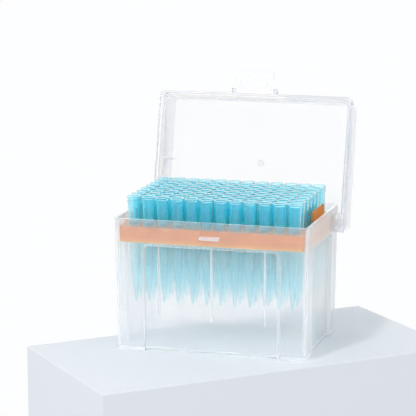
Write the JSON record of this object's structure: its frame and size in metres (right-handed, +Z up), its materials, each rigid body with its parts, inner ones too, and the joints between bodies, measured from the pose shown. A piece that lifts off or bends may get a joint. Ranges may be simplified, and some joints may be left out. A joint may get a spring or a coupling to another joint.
{
  "type": "pipette tip box",
  "caption": "Hinged frosted box holding a full rack of blue pipette tips on an orange tray, with its lid open and a flip clasp on the lid's edge.",
  "frame": {"origin": "centre of the base's footprint on the surface the box stands on", "axes": "+Z up, +X along the long side and the twelve columns of tips, -Y towards the front with the clasp's catch, +Y towards the lid's hinge"},
  "size_m": [0.126, 0.1317, 0.1594],
  "materials": {
    "frosted_body": "translucent frosted polypropylene, satin",
    "tray_orange": "opaque orange, satin",
    "tip_blue": "clear light blue, glossy"
  },
  "bodies": {
    "box": {"base": "frosted_body", "tray": "tray_orange", "tip_column_01": "tip_blue", "tip_column_02": "tip_blue", "tip_column_03": "tip_blue", "tip_column_04": "tip_blue", "tip_column_05": "tip_blue", "tip_column_06": "tip_blue", "tip_column_07": "tip_blue", "tip_column_08": "tip_blue", "tip_column_09": "tip_blue", "tip_column_10": "tip_blue", "tip_column_11": "tip_blue", "tip_column_12": "tip_blue"},
    "lid": {"lid": "frosted_body"},
    "clasp": {"clasp": "frosted_body"}
  },
  "joints": [
    {"name": "lid_hinge", "type": "hinge", "parent": "box", "child": "lid", "pos_m": [0, 0.037, 0.0697], "axis": [1, 0, 0], "range_deg": [0, 103.8]},
    {"name": "clasp_hinge", "type": "hinge", "parent": "lid", "child": "clasp", "pos_m": [0, 0.06277, 0.14652], "axis": [1, 0, 0], "range_deg": [-60, 90]}
  ]
}
